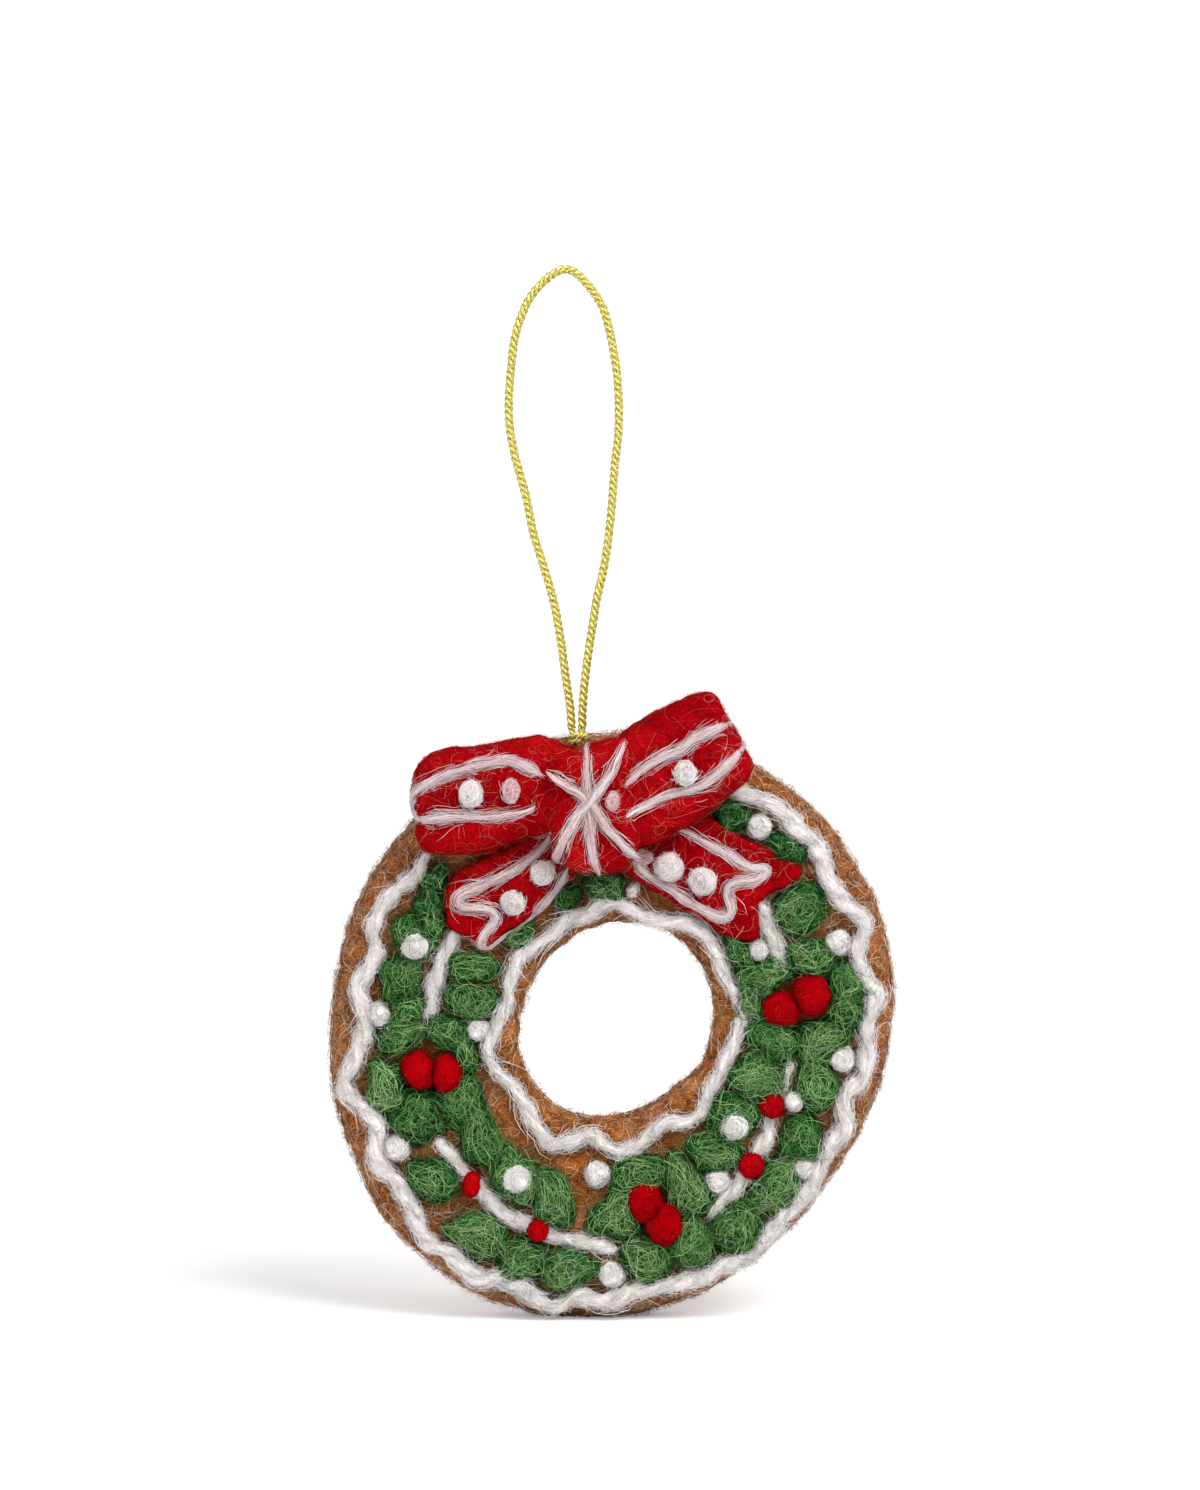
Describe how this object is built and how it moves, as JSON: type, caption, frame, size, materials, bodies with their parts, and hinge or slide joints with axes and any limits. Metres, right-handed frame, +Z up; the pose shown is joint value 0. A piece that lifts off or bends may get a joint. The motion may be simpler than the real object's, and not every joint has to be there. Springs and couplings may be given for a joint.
{
  "type": "felt christmas ornament",
  "caption": "Round needle-felted ring with yarn icing, felt leaves, berries, white balls and a front bow, hung by a twisted cord loop tied in a knot.",
  "frame": {"origin": "inner top of the cord loop, where a hook or twig holds it", "axes": "+Z up, -Y towards the decorated front, +X to the viewer's right"},
  "size_m": [0.0845, 0.0217, 0.1589],
  "materials": {
    "brown_felt": "needled wool, fuzzy",
    "white_yarn": "loosely twisted wool yarn",
    "white_felt": "wound wool, matted",
    "green_felt": "curled wool, needled",
    "red_felt": "needled wool, fuzzy",
    "gold_cord": "three-ply twisted metallic cord"
  },
  "bodies": {
    "cord": {"hanging_cord": "gold_cord"},
    "knot": {"cord_knot": "gold_cord"},
    "wreath": {"felt_ring": "brown_felt", "bow_centre": "red_felt", "bow_loop_left": "red_felt", "bow_loop_right": "red_felt", "bow_tail_left": "red_felt", "bow_tail_right": "red_felt", "bow_yarn_left_loop": "white_yarn", "bow_yarn_right_upper": "white_yarn", "bow_yarn_right_lower": "white_yarn", "bow_yarn_left_tail": "white_yarn", "bow_yarn_right_tail": "white_yarn", "bow_yarn_centre": "white_yarn", "bow_dot_1": "white_felt", "bow_dot_2": "white_felt", "bow_dot_3": "white_felt", "bow_dot_4": "white_felt", "bow_dot_5": "white_felt", "bow_dot_6": "white_felt", "bow_dot_7": "white_felt", "bow_dot_8": "white_felt", "icing_yarn_outer": "white_yarn", "icing_yarn_inner": "white_yarn", "garland_yarn_upper_left": "white_yarn", "garland_yarn_lower_left": "white_yarn", "garland_yarn_lower_right": "white_yarn", "garland_yarn_upper_right": "white_yarn", "garland_bead_1": "red_felt", "garland_bead_2": "red_felt", "garland_bead_3": "red_felt", "garland_bead_4": "red_felt", "berries_left": "red_felt", "berries_right": "red_felt", "berries_bottom": "red_felt", "pearl_1": "white_felt", "pearl_2": "white_felt", "pearl_3": "white_felt", "pearl_4": "white_felt", "pearl_5": "white_felt", "pearl_6": "white_felt", "pearl_7": "white_felt", "pearl_8": "white_felt", "pearl_9": "white_felt", "pearl_10": "white_felt", "pearl_11": "white_felt", "pearl_12": "white_felt", "pearl_13": "white_felt", "pearl_14": "white_felt", "pearl_15": "white_felt", "leaves_left": "green_felt", "leaf_lower_left": "green_felt", "leaves_bottom_left": "green_felt", "leaves_bottom": "green_felt", "leaves_lower_right": "green_felt", "leaves_right": "green_felt", "leaf_upper_right": "green_felt", "leaf_beside_bow": "green_felt", "leaf_above_tail": "green_felt", "leaf_under_bow": "green_felt"}
  },
  "joints": [
    {"name": "cord_fold", "type": "hinge", "parent": "cord", "child": "knot", "pos_m": [0.0018, 0, -0.06975], "axis": [1, 0, 0], "range_deg": [-65, 50]},
    {"name": "cord_sway", "type": "hinge", "parent": "knot", "child": "wreath", "pos_m": [0.0018, 0, -0.06975], "axis": [0, 1, 0], "range_deg": [-40, 40]}
  ]
}
